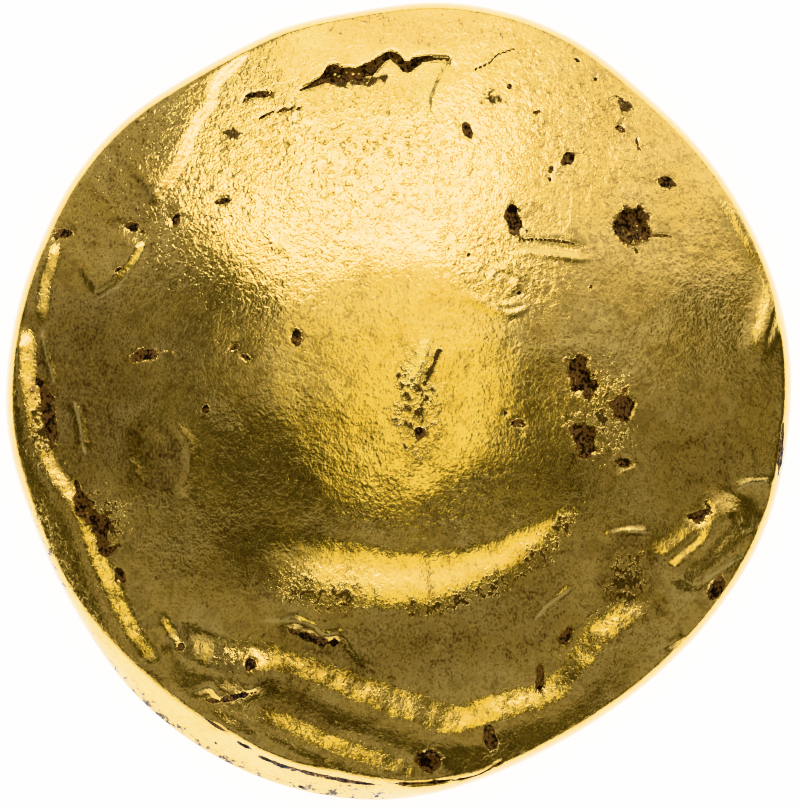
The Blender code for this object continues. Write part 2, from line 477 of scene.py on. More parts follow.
@dataclass
class StruckRelief:
    """Everything that the strike, the wear and the ground have left on the bossed face, and the highlights
    painted along its crests and threads.
    """

    undulation: float = 0.012
    undulation_size: float = 1.3
    hammering: float = 0.006
    hammer_size: float = 0.28
    hammer_shift: float = 31.0
    hammer_everywhere: float = 0.35
    welts: tuple = (
        Welt(
            "trough_wall",
            (
                (604, 480), (575, 498), (530, 522), (490, 538), (445, 547), (400, 548), (355, 541), (310, 530),
                (270, 516), (240, 500),
            ),
            0.225, 1.25, 1.0, taper=0.28, crinkle=0.003, wobble=0.05, roundness=0.65,
            start_width=0.12, end_width=1.45, start_rise=0.72, end_rise=0.78,
        ),
        Welt(
            "lower_line",
            ((520, 722), (484, 714), (445, 702), (405, 686), (355, 666), (310, 650), (250, 632), (215, 622)),
            0.184, 0.66, 0.70, taper=0.22, crinkle=0.011, wobble=0.06, start_rise=1.05,
        ),
        Welt(
            "rim_line",
            ((480, 782), (445, 770), (400, 750), (350, 731), (300, 710), (255, 692), (225, 682)),
            0.185, 0.58, 0.55, taper=0.25, crinkle=0.006, wobble=0.05, start_rise=1.2,
        ),
        Welt(
            "rim_strip", ((345, 774), (280, 744), (235, 714), (190, 690)),
            0.090, 0.28, 0.4, taper=0.3, crinkle=0.004, wobble=0.03,
        ),
        Welt(
            "right_line",
            (
                (680, 576), (650, 588), (618, 602), (587, 622), (566, 648), (545, 674), (512, 688),
                (462, 700), (430, 708),
            ),
            0.180, 0.60, 0.70, taper=0.22, crinkle=0.010, wobble=0.07, start_rise=0.65,
        ),
        Welt(
            "left_tongue", ((290, 657), (262, 647), (235, 640), (205, 629), (176, 612)),
            0.18, 0.72, 0.5, taper=0.3, crinkle=0.008, wobble=0.06,
        ),
        Welt("left_claw", ((192, 650), (178, 630), (166, 606)), 0.06, 0.25, 0.5, taper=0.3),
        Welt(
            "left_lip",
            (
                (180, 668), (160, 648), (138, 620), (121, 583), (106, 545), (93, 507), (74, 482), (59, 460),
                (49, 430), (42, 400), (38, 365), (39, 342), (43, 325),
            ),
            0.128, 0.42, 0.50, taper=0.07, crinkle=0.005, wobble=0.045,
        ),
        Welt(
            "left_lip_high", ((46, 335), (51, 305), (54, 282), (60, 262), (70, 242)),
            0.07, 0.32, 0.8, taper=0.25, crinkle=0.004, wobble=0.04,
        ),
        Welt(
            "left_plate",
            ((146, 212), (160, 204), (178, 180), (191, 154), (201, 128), (217, 107), (222, 86), (256, 52)),
            0.035, 0.24, 1.2, taper=0.1, roundness=0.9,
        ),
        Welt("lower_plate", ((94, 298), (118, 282), (136, 262), (146, 243)), 0.04, 0.08, 0.8, taper=0.1),
        Welt(
            "top_lap",
            (
                (463, 76), (446, 61), (427, 59), (416, 63), (404, 68), (395, 58), (387, 56), (366, 71),
                (340, 73), (322, 81), (295, 95),
            ),
            -0.06, 0.06, 1.0, taper=0.15,
        ),
    )
    ridges: tuple = (
        Ridge("pale_thread", PALE_THREAD, 0.035, 0.07, 0.07),
        Ridge(
            "ledge",
            ((259, 621), (285, 620), (295, 618), (314, 625), (322, 633), (342, 631), (353, 644), (374, 675)),
            0.045, 0.08, 0.12, crinkle=0.4,
        ),
        Ridge("right_crease", RIGHT_CREASE, 0.035, 0.09, 0.16),
        Ridge("right_crease_spur", RIGHT_CREASE_SPUR, 0.02, 0.06, 0.08),
        Ridge(
            "fold_long", ((650, 584), (674, 567), (700, 545), (722, 522), (746, 494)), 0.155, 0.52, 0.44,
            taper=0.25, crinkle=0.10,
        ),
        Ridge("fold_lip", ((668, 572), (694, 584), (714, 573), (730, 562), (746, 553)), 0.03, 0.09, 0.14),
        Ridge("fold_valley", ((656, 570), (668, 560), (694, 538), (708, 524)), -0.028, 0.10, 0.12, taper=0.3),
        Ridge("fold_groove", ((655, 552), (660, 572), (659, 598), (668, 616)), -0.02, 0.08, 0.10),
        Ridge("flame", ((429, 336), (421, 355), (412, 376), (403, 394)), 0.016, 0.14, 0.12, taper=0.3),
        Ridge(
            "right_facet",
            ((717, 178), (738, 210), (756, 243), (770, 266), (775, 294), (765, 332), (750, 372)),
            0.085, 0.16, 0.28,
        ),
        Ridge("edge_crease", ((662, 648), (672, 641), (682, 634)), 0.035, 0.08, 0.08),
        Ridge("lower_thread", ((534, 612), (552, 599), (573, 584)), 0.030, 0.07, 0.07, crinkle=0.4),
        Ridge("patch_edge", ((600, 536), (616, 532), (630, 530), (650, 532)), 0.040, 0.08, 0.09, crinkle=0.4),
        Ridge("left_crease", ((70, 398), (80, 415), (84, 440), (86, 455)), 0.03, 0.09, 0.12),
        Ridge("inner_lip_thread", ((42, 330), (47, 353), (57, 388)), 0.025, 0.06, 0.06),
        Ridge("oval_side", ((168, 420), (188, 440), (190, 470), (178, 500)), 0.02, 0.12, 0.08),
        Ridge("rim_groove", ((196, 705), *RIM_GROOVE), -0.04, 0.06, 0.06),
        Ridge("gouge_lip", ((511, 252), (545, 256), (582, 261), (587, 252)), 0.020, 0.06, 0.05),
        Ridge("gouge_rib", ((512, 247), (545, 249), (580, 254)), 0.008, 0.05, 0.05),
        Ridge("swirl", ((488, 290), (493, 274), (508, 270), (516, 281), (506, 292)), 0.016, 0.06, 0.05),
        Ridge("swirl_inner", ((496, 287), (500, 278), (508, 280)), 0.012, 0.05, 0.05),
        Ridge("corner_ripple", ((462, 292), (484, 307), (510, 315), (531, 303)), 0.018, 0.07, 0.06),
        Ridge("corner_ripple_high", ((480, 296), (500, 306), (522, 303)), 0.012, 0.05, 0.05),
    )
    pits: tuple = (
        Pit("upper_right", (629, 226), 0.36, 0.37, depth=0.12, ragged=0.5),
        Pit("upper_middle", (512, 222), 0.17, 0.28, turn=20, depth=0.07, ragged=0.6),
        Pit("crater_high", (578, 377), 0.28, 0.45, turn=15, depth=0.10, ragged=0.5, bareness=0.08),
        Pit("crater_right", (620, 408), 0.27, 0.36, depth=0.06, ragged=0.5, bareness=0.15),
        Pit("crater_low", (583, 438), 0.24, 0.40, turn=20, depth=0.06, ragged=0.5, bareness=0.15),
        Pit("crater_faint", (622, 461), 0.22, 0.20, depth=0.03, ragged=0.6, bareness=0.5),
        Pit("star", (566, 159), 0.14, 0.14, depth=0.030, ragged=0.8),
        Pit("star_low", (549, 171), 0.06, 0.09, turn=-30, depth=0.018, bareness=0.25),
        Pit("star_lowest", (548, 181), 0.05, 0.06, depth=0.018, bareness=0.25),
        Pit("lens", (466, 132), 0.09, 0.17, turn=20, depth=0.024, ragged=0.2),
        Pit("wedge", (665, 182), 0.16, 0.12, turn=-20, depth=0.030, ragged=0.6),
        Pit("high_right", (619, 130), 0.12, 0.07, turn=-40, depth=0.024, ragged=0.6, bareness=0.25),
        Pit("high_spots", (635, 142), 0.05, 0.16, turn=15, depth=0.018, ragged=1.0, bareness=0.25),
        Pit("rim_right", (576, 61), 0.09, 0.05, turn=-30, depth=0.018, ragged=0.6, bareness=0.25),
        Pit("rim_right_low", (594, 80), 0.06, 0.06, depth=0.018, bareness=0.25),
        Pit("slit", (535, 114), 0.14, 0.05, turn=15, depth=0.018, ragged=0.2, bareness=0.25),
        Pit("nick", (508, 88), 0.06, 0.07, depth=0.018, bareness=0.25),
        Pit("side_spot", (634, 253), 0.04, 0.13, turn=15, depth=0.018, bareness=0.25),
        Pit("small_right", (588, 288), 0.05, 0.07, depth=0.018, bareness=0.25),
        Pit("left_slash", (222, 203), 0.18, 0.06, turn=12, depth=0.030),
        Pit("oval", (297, 338), 0.10, 0.18, depth=0.030, ragged=0.15),
        Pit("tick", (236, 348), 0.14, 0.06, turn=35, depth=0.024, ragged=0.7, bareness=0.25),
        Pit("tick_low", (247, 358), 0.10, 0.05, turn=-30, depth=0.018, ragged=0.6, bareness=0.25),
        Pit("left_black", (146, 356), 0.42, 0.15, turn=10, depth=0.030, ragged=0.7, bareness=0.25),
        Pit("left_marks", (134, 229), 0.20, 0.10, turn=-25, depth=0.024, ragged=1.0, bareness=0.25),
        Pit("left_mark", (120, 270), 0.12, 0.06, turn=30, depth=0.018, ragged=0.5, bareness=0.25),
        Pit("edge_marks", (68, 235), 0.18, 0.10, turn=30, depth=0.018, ragged=1.0, bareness=0.25),
        Pit("loop", (178, 221), 0.08, 0.18, turn=-20, depth=0.018, ragged=0.8, bareness=0.25),
        Pit("lower_left_dot", (207, 409), 0.08, 0.12, depth=0.024),
        Pit("boss_dot", (419, 432), 0.11, 0.12, depth=0.018, ragged=0.5),
        Pit("boss_star", (517, 424), 0.22, 0.09, turn=-15, depth=0.024, ragged=1.0, bareness=0.25),
        Pit("rim_black", (715, 588), 0.14, 0.27, turn=-28, depth=0.10, ragged=0.2),
        Pit("fold_star", (697, 514), 0.30, 0.12, turn=20, depth=0.030, ragged=1.0, bareness=0.25),
        Pit("lower_blob", (428, 759), 0.25, 0.24, depth=0.12, ragged=0.3),
        Pit("lower_blob_right", (489, 735), 0.13, 0.26, turn=15, depth=0.07, ragged=0.3),
        Pit("line_dirt", (539, 679), 0.12, 0.36, depth=0.036, ragged=0.6, bareness=0.25),
        Pit("line_dirt_high", (564, 634), 0.14, 0.32, turn=-35, depth=0.030, ragged=0.6, bareness=0.25),
        Pit("tongue_dirt", (251, 662), 0.20, 0.14, turn=20, depth=0.030, ragged=0.8, bareness=0.25),
        Pit("claw_dirt", (182, 645), 0.12, 0.13, depth=0.030, ragged=0.7, bareness=0.25),
        Pit("band_mark", (215, 744), 0.10, 0.05, turn=-35, depth=0.012, bareness=0.25),
        Pit("band_mark_low", (300, 788), 0.10, 0.05, turn=-20, depth=0.012, bareness=0.25),
        Pit("lip_dot", (122, 577), 0.10, 0.16, turn=20, depth=0.024, ragged=0.8),
        Pit("band_mark_right", (376, 797), 0.08, 0.04, turn=10, depth=0.012, bareness=0.25),
        Pit("corner_dot", (517, 294), 0.06, 0.06, depth=0.012, bareness=0.25),
        Pit("corner_dot_left", (467, 256), 0.06, 0.06, depth=0.012, bareness=0.25),
        Pit("gouge", (547, 249), 0.80, 0.15, turn=-5, depth=0.03, ragged=0.08, crusted=False),
        Pit("oval_print", (152, 455), 0.50, 0.70, turn=20, depth=0.03, ragged=0.2, crusted=False),
    )
    cracks: tuple = (
        Crack(
            "top_crack",
            (
                (299, 93), (322, 81), (332, 70), (342, 73), (366, 71), (387, 57), (396, 60), (406, 69),
                (416, 63), (427, 60), (448, 61),
            ),
            0.10, depth=0.10,
        ),
        Crack("top_crack_crumbs", ((320, 84), (345, 80), (366, 75), (380, 66)), 0.09, depth=0.05, ragged=1.0),
        Crack("crescent", ((243, 103), (251, 97), (273, 95)), 0.06),
        Crack("upper_slit", ((259, 120), (280, 112), (303, 110)), 0.03, depth=0.02),
        Crack(
            "left_earth", ((77, 482), (86, 508), (101, 526), (106, 550), (120, 544)),
            0.17, depth=0.07, ragged=0.8,
        ),
        Crack("left_earth_high", ((36, 376), (45, 392), (50, 420), (54, 446)), 0.12, depth=0.06, ragged=0.8),
        Crack("rim_crack", ((188, 704), *RIM_GROOVE), 0.038, ragged=0.7),
        Crack("right_slit", ((782, 424), (780, 450), (777, 476)), 0.05),
        Crack("pit_tail", ((645, 236), (669, 237)), 0.03, depth=0.02),
        Crack(
            "ledge_earth", ((285, 627), (305, 634), (325, 640), (345, 640)),
            0.10, depth=0.03, ragged=1.0, bareness=0.3,
        ),
        Crack(
            "thread_earth", ((200, 697), (217, 700), (240, 694), (258, 690)),
            0.07, depth=0.03, ragged=1.0, bareness=0.3,
        ),
        Crack("top_thread", ((474, 71), (487, 65), (495, 57), (513, 50)), 0.025, depth=0.02),
        Crack(
            "gouge_line", ((509, 243), (530, 241), (560, 243), (581, 248)),
            0.045, depth=0.02, ragged=0.1, bareness=0.4,
        ),
    )
    stains: tuple = (
        Patch(Stain.HAMMER, (345, 160), 3.4, 1.9, turn=5),
        Patch(Stain.HAMMER, (490, 262), 1.5, 0.8, turn=-28, strength=0.9),
        Patch(Stain.HAMMER, (560, 110), 2.6, 1.6, turn=-25, strength=0.6),
        Patch(Stain.HAMMER, (320, 585), 1.5, 0.6, strength=0.4),
        Streak(
            Stain.HAMMER, ((200, 640), (265, 658), (310, 668), (355, 684), (405, 704), (470, 722)), 0.5, 0.55
        ),
        Streak(Stain.HAMMER, ((200, 700), (260, 712), (300, 728), (350, 748), (420, 772)), 0.5, 0.5),
        Streak(Stain.HAMMER, ((650, 600), (600, 622), (565, 665), (535, 696), (480, 706)), 0.5, 0.55),
        Streak(Stain.HAMMER, ((160, 660), (118, 605), (85, 515), (45, 440), (28, 380), (30, 320)), 0.4, 0.4),
        Streak(Stain.HAMMER, ((20, 470), (60, 590), (110, 665), (200, 748), (300, 788), (440, 792)), 0.5, 0.6),
        Patch(Stain.HAMMER, (590, 410), 1.0, 1.3, strength=0.2),
        Patch(Stain.HAMMER, (420, 400), 0.6, 1.4, strength=0.4),
        Patch(Stain.FILM, (75, 400), 1.3, 2.6, turn=-8, strength=0.7),
        Patch(Stain.FILM, (150, 455), 0.7, 0.9, turn=20, strength=1.0),
        Patch(Stain.FILM, (130, 190), 1.2, 2.2, turn=-30, strength=0.45),
        Patch(Stain.FILM, (420, 640), 4.4, 1.0, turn=8, strength=0.55),
        Patch(Stain.FILM, (628, 565), 0.62, 0.95, turn=-20, strength=1.3),
        Patch(Stain.FILM, (560, 470), 1.4, 0.8, turn=30, strength=0.4),
        Patch(Stain.FILM, (600, 660), 1.6, 0.7, turn=40, strength=0.35),
        Patch(Stain.FILM, (520, 590), 1.6, 0.7, turn=30, strength=0.6),
        Patch(Stain.FILM, (220, 560), 1.8, 1.3, strength=0.35),
        Patch(Stain.FILM, (700, 460), 1.5, 1.0, strength=0.45),
        Patch(Stain.FILM, (300, 700), 1.2, 0.3, turn=-25, strength=0.9),
        Patch(Stain.FILM, (415, 32), 1.9, 0.42, turn=-2, strength=0.7),
        # The RUB_AND_HIGHLIGHT patches and streaks paint pale highlights on crests, threads and edges, along
        # with rubbed wear.
        Patch(Stain.RUB_AND_HIGHLIGHT, (682, 592), 0.42, 0.36, strength=0.45),
        Patch(Stain.RUB_AND_HIGHLIGHT, (778, 404), 0.16, 0.4, strength=0.5),
        Patch(Stain.DEPOSIT, (600, 415), 0.9, 1.1, strength=0.42),
        Patch(Stain.DEPOSIT, (625, 580), 0.55, 0.8, turn=-20, strength=0.55),
        Streak(Stain.DEPOSIT, ((20, 470), (60, 592), (110, 668), (200, 750), (300, 790), (440, 794)), 0.3, 0.5),
        Patch(Stain.DEPOSIT, (415, 408), 0.55, 1.2, strength=0.45),
        Streak(Stain.DEPOSIT, ((440, 346), (432, 366), (421, 390)), 0.07, 0.75),
        Streak(Stain.DEPOSIT, ((403, 360), (398, 378)), 0.12, 0.5),
        # Painted highlights with rubbed wear: the pale flame, the gouge's lower edge, threads, creases and
        # plate edges.
        Streak(Stain.RUB_AND_HIGHLIGHT, ((429, 338), (421, 356), (412, 376), (404, 392)), 0.13, 1.4),
        Streak(Stain.RUB_AND_HIGHLIGHT, ((515, 252), (545, 253), (582, 258)), 0.06, 1.0),
        Streak(Stain.RUB_AND_HIGHLIGHT, PALE_THREAD, 0.05, 0.9),
        Streak(Stain.RUB_AND_HIGHLIGHT, ((259, 619), (285, 618), (295, 616), (314, 623), (322, 631), (342, 629)), 0.045, 0.8),
        Streak(Stain.RUB_AND_HIGHLIGHT, RIGHT_CREASE, 0.06, 0.9),
        Streak(Stain.RUB_AND_HIGHLIGHT, RIGHT_CREASE_SPUR, 0.05, 0.8),
        Streak(Stain.RUB_AND_HIGHLIGHT, ((698, 583), (712, 572), (726, 564), (748, 551)), 0.06, 0.9),
        Streak(Stain.RUB_AND_HIGHLIGHT, ((95, 301), (119, 287), (134, 265), (146, 243)), 0.045, 0.8),
        Streak(Stain.RUB_AND_HIGHLIGHT, ((75, 398), (80, 418), (84, 438), (87, 459)), 0.05, 0.9),
        Streak(Stain.RUB_AND_HIGHLIGHT, ((160, 207), (166, 240), (175, 277)), 0.04, 0.7),
        Streak(Stain.RUB_AND_HIGHLIGHT, ((42, 325), (46, 355), (57, 388)), 0.05, 0.8),
        Streak(Stain.RUB_AND_HIGHLIGHT, ((605, 533), (622, 529), (650, 532)), 0.06, 0.8),
        Streak(Stain.RUB_AND_HIGHLIGHT, ((530, 622), (548, 602), (573, 584)), 0.04, 0.8),
        Streak(Stain.RUB_AND_HIGHLIGHT, ((578, 657), (605, 648), (628, 644)), 0.03, 0.8),
        Streak(Stain.RUB_AND_HIGHLIGHT, ((150, 208), (178, 180), (191, 154), (201, 128), (217, 107), (222, 86)), 0.05, 0.35),
        Patch(Stain.DEPOSIT, (330, 595), 1.1, 0.4, strength=0.5),
        Patch(Stain.DEPOSIT, (300, 585), 0.5, 0.4, strength=0.5),
        Patch(Stain.DEPOSIT, (232, 136), 0.35, 0.2, strength=0.6),
        Patch(Stain.DEPOSIT, (490, 102), 0.3, 0.3, strength=0.5),
        Patch(Stain.DEPOSIT, (622, 104), 0.4, 0.3, strength=0.5),
        Patch(Stain.DEPOSIT, (45, 430), 0.4, 0.9, strength=0.6),
        Patch(Stain.DEPOSIT, (110, 520), 0.5, 0.7, strength=0.5),
        Streak(
            Stain.DEPOSIT, ((385, 600), (430, 606), (470, 592), (515, 573), (548, 540), (580, 502)), 0.30, 0.52
        ),
        Streak(Stain.DEPOSIT, ((330, 84), (360, 84), (392, 78)), 0.14, 0.7),
        Streak(Stain.FILM, ((250, 690), (300, 706), (345, 728)), 0.3, 0.8),
        Streak(Stain.FILM, ((270, 632), (320, 645), (370, 668)), 0.3, 0.8),
    )

    def heights(self, face: FacePlaces) -> np.ndarray:
        """Returns the height that all of the relief adds at each place."""
        broad = face.noise.layered(face.x / self.undulation_size, face.y / self.undulation_size, 2)
        fine = face.noise.layered(face.x / self.hammer_size + self.hammer_shift, face.y / self.hammer_size, 2)
        hammered = self.hammer_everywhere + self.stained(face, Stain.HAMMER)
        total = self.undulation * broad + self.hammering * fine * hammered
        for mark in self.welts + self.ridges + self.pits + self.cracks:
            total += mark.relief(face)
        return total

    def stained(self, face: FacePlaces, kind: Stain) -> np.ndarray:
        """Returns how strongly each place is covered by one kind of stain."""
        if kind is Stain.PIT:
            deepest = np.full(face.x.shape, -1.0)
            for mark in self.pits + self.cracks:
                if mark.crusted:
                    deepest = np.maximum(deepest, mark.depth_share(face) - mark.bareness)
            return deepest
        covered = np.zeros_like(face.x)
        for stain in self.stains:
            if stain.kind is kind:
                covered = np.maximum(covered, stain.cover(face))
        return covered


@dataclass
class CoinBody:
    """The coin's fine surface, woven from two square sheets pressed into discs."""

    shape: FlanShape = field(default_factory=FlanShape)
    struck: StruckRelief = field(default_factory=StruckRelief)
    upper_rings: int = 146
    lower_rings: int = 48
    flat_share: float = 0.925
    lower_start: float = math.radians(12)

    def build(self) -> bpy.types.Object:
        """Returns the finished coin."""
        sheet = bmesh.new()
        counts = []
        for rings in (self.upper_rings, self.lower_rings):
            bmesh.ops.create_grid(sheet, x_segments=2 * rings, y_segments=2 * rings, size=1.0)
            counts.append(len(sheet.verts))
        sheet.verts.index_update()
        rims = [edge for edge in sheet.edges if edge.is_boundary]
        flat = np.array([vert.co[:2] for vert in sheet.verts])
        upper = np.arange(len(flat)) < counts[0]
        placed, marks = self.pressed(flat[:, 0], flat[:, 1], upper)
        for vert, place in zip(sheet.verts, placed * MILLIMETRE):
            vert.co = place
        bmesh.ops.bridge_loops(sheet, edges=rims)
        bmesh.ops.recalc_face_normals(sheet, faces=sheet.faces)
        mesh = bpy.data.meshes.new("struck_coin")
        sheet.to_mesh(mesh)
        sheet.free()
        self.centre_on_solid(mesh)
        for name, values in marks.items():
            layer = mesh.attributes.new(name, "FLOAT", "POINT")
            layer.data.foreach_set("value", values.astype(np.float32))
        mesh.shade_smooth()
        coin = bpy.data.objects.new("struck_coin", mesh)
        bpy.context.scene.collection.objects.link(coin)
        return coin

    @staticmethod
    def centre_on_solid(mesh: bpy.types.Mesh) -> None:
        """Moves the mesh so that its outline's middle lies over the solid's."""
        places = np.empty(len(mesh.vertices) * 3)
        mesh.vertices.foreach_get("co", places)
        places = places.reshape(-1, 3)
        low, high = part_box("coin")
        middle = 0.5 * (np.array(low) + np.array(high))
        own = 0.5 * (places.min(axis=0) + places.max(axis=0))
        places[:, :2] += (middle - own)[:2]
        mesh.vertices.foreach_set("co", places.ravel())
        mesh.update()

    @staticmethod
    def bearings(across: np.ndarray, up: np.ndarray) -> np.ndarray:
        """Returns the bearing that each point of a square sheet has in the disc."""
        wide = np.abs(across) >= np.abs(up)
        safe_across = np.where(np.abs(across) < TINY, TINY, across)
        safe_up = np.where(np.abs(up) < TINY, TINY, up)
        quarter = 0.25 * math.pi
        turn = np.where(wide, quarter * up / safe_across, 2.0 * quarter - quarter * across / safe_up)
        turn = turn + math.pi * np.where(wide, across < 0.0, up < 0.0)
        return np.arctan2(np.sin(turn), np.cos(turn))

    def pressed(self, across: np.ndarray, up: np.ndarray, upper: np.ndarray) -> tuple:
        """Presses the sheets' points into the coin.

        Args:
            across: Where each point lies from left to right, from -1 to 1.
            up: Where it lies from bottom to top, from -1 to 1.
            upper: Whether it belongs to the bossed face.

        Returns:
            The points' places in millimetres, and the stains' values by attribute name.
        """
        ring = np.maximum(np.abs(across), np.abs(up))
        bearing = self.bearings(across, up)
        outer, shoulder = self.shape.outline_radius(bearing), self.shape.shoulder_at(bearing)
        bend = 0.5 * math.pi * np.clip((ring - self.flat_share) / (1.0 - self.flat_share), 0.0, 1.0)
        level = np.clip(ring / self.flat_share, 0.0, 1.0)
        edge = self.shape.edge_height
        reach = level * (outer - shoulder) + shoulder * np.sin(bend)
        x, y = reach * np.cos(bearing), reach * np.sin(bearing)
        face = FacePlaces(x[upper], y[upper])
        top = self.shape.dome_height(x, y)
        top[upper] += self.struck.heights(face)
        top = edge + self.shape.shoulder_drop(bearing, np.sin(bend)) * (top - edge)
        lower = self.shape.lower_rounding
        curl = 0.5 * math.pi - (1.0 - self.lower_start / (0.5 * math.pi)) * bend
        low_reach = level * (outer - lower) + lower * np.cos(curl)
        low_x, low_y = low_reach * np.cos(bearing), low_reach * np.sin(bearing)
        drop = 1.0 - np.sin(curl)
        bottom = self.shape.dished_height(low_x, low_y) * (1.0 - drop) + edge * drop
        marks = {}
        for kind in Stain:
            values = np.full(len(x), -1.0 if kind is Stain.PIT else 0.0)
            values[upper] = np.clip(self.struck.stained(face, kind), -1.0, 1.0)
            marks[kind.value] = values
        above, below = np.column_stack([x, y, top]), np.column_stack([low_x, low_y, bottom])
        return np.where(upper[:, None], above, below), marks


class Wiring:
    """Adds nodes to one tree and joins them."""

    mix_first, mix_second, mix_result = 6, 7, 2

    def __init__(self, tree: bpy.types.NodeTree) -> None:
        """Takes the tree to work in."""
        self.tree = tree

    def add(self, kind: str, settings: dict | None = None, **inputs: object) -> bpy.types.Node:
        """Adds a node.

        Args:
            kind: The node's type name, without its ShaderNode start.
            settings: The node's own properties.
            **inputs: Its input sockets by name, with underscores for spaces, as values or links.

        Returns:
            The new node.
        """
        node = self.tree.nodes.new(f"ShaderNode{kind}")
        for name, value in (settings or {}).items():
            setattr(node, name, value)
        for name, value in inputs.items():
            self.join(node.inputs[name.replace("_", " ")], value)
        return node

    def join(self, socket: bpy.types.NodeSocket, value: object) -> None:
        """Links a socket to another, or sets its value."""
        if isinstance(value, bpy.types.NodeSocket):
            self.tree.links.new(value, socket)
        else:
            socket.default_value = value

    def math(self, operation: str, *values: object) -> bpy.types.NodeSocket:
        """Returns the result of a Math node."""
        node = self.add("Math", {"operation": operation})
        for socket, value in zip(node.inputs, values):
            self.join(socket, value)
        return node.outputs[0]

    def vector(self, operation: str, *values: object) -> bpy.types.NodeSocket:
        """Returns the vector result of a Vector Math node."""
        node = self.add("VectorMath", {"operation": operation})
        for socket, value in zip(node.inputs, values):
            self.join(socket, value)
        return node.outputs[0]

    def noise(
        self, place: object, scale: float, detail: float, distortion: float = 0.0
    ) -> bpy.types.NodeSocket:
        """Returns a noise value, from 0 to 1, with about scale bumps a millimetre."""
        node = self.add("TexNoise", None, Vector=place, Scale=scale, Detail=detail, Distortion=distortion)
        return node.outputs["Fac"]

    def between(
        self, value: object, low: float, high: float, first: object = 0.0, last: object = 1.0
    ) -> bpy.types.NodeSocket:
        """Returns a smooth step from first to last as the value goes from low to high."""
        node = self.add("MapRange", {"interpolation_type": "SMOOTHSTEP"})
        for socket, given in zip(node.inputs, (value, low, high, first, last)):
            self.join(socket, given)
        return node.outputs[0]

    def mixed(self, share: object, first: object, second: object) -> bpy.types.NodeSocket:
        """Returns the mix of two colours."""
        node = self.add("Mix", {"data_type": "RGBA"})
        self.join(node.inputs[0], share)
        self.join(node.inputs[self.mix_first], first)
        self.join(node.inputs[self.mix_second], second)
        return node.outputs[self.mix_result]

    def mark(self, kind: Stain) -> bpy.types.NodeSocket:
        """Returns the value of one stain's attribute."""
        return self.add("Attribute", {"attribute_name": kind.value}).outputs["Fac"]


@dataclass(frozen=True)
class ScratchGroup:
    """Short hairline scratches, each in a cell of its own and turned its own way."""

    name: str = "hairline_scratches"
    bow: float = 0.25
    core: float = 0.2
    fading: float = 0.6

    def build(self) -> bpy.types.NodeTree:
        """Returns the node group."""
        tree = bpy.data.node_groups.new(self.name, "ShaderNodeTree")
        tree.interface.new_socket("Vector", in_out="INPUT", socket_type="NodeSocketVector")
        for measure in ("Cells", "Length", "Width"):
            tree.interface.new_socket(measure, in_out="INPUT", socket_type="NodeSocketFloat")
        tree.interface.new_socket("Mask", in_out="OUTPUT", socket_type="NodeSocketFloat")
        wires = Wiring(tree)
        given = tree.nodes.new("NodeGroupInput")
        result = tree.nodes.new("NodeGroupOutput")
        cells = wires.add("TexVoronoi", {"voronoi_dimensions": "2D"}, Vector=given.outputs["Vector"])
        wires.join(cells.inputs["Scale"], given.outputs["Cells"])
        gap = wires.vector("SUBTRACT", given.outputs["Vector"], cells.outputs["Position"])
        lot = wires.add("SeparateXYZ", None, Vector=cells.outputs["Color"])
        angle = wires.math("MULTIPLY", lot.outputs["X"], 2.0 * math.pi)
        turned = wires.add("VectorRotate", {"rotation_type": "Z_AXIS"}, Vector=gap, Angle=angle)
        place = wires.add("SeparateXYZ", None, Vector=turned.outputs["Vector"])
        bow = wires.math("MULTIPLY", wires.math("MULTIPLY", place.outputs["X"], place.outputs["X"]), self.bow)
        across = wires.math("ABSOLUTE", wires.math("ADD", place.outputs["Y"], bow))
        reach = wires.math("MULTIPLY", given.outputs["Length"], lot.outputs["Y"])
        along = wires.math("DIVIDE", wires.math("ABSOLUTE", place.outputs["X"]), reach)
        thin = wires.math("DIVIDE", across, given.outputs["Width"])
        line = wires.between(thin, self.core, 1.0, 1.0, 0.0)
        ends = wires.between(along, self.fading, 1.0, 1.0, 0.0)
        wires.join(result.inputs["Mask"], wires.math("MULTIPLY", line, ends))
        return tree


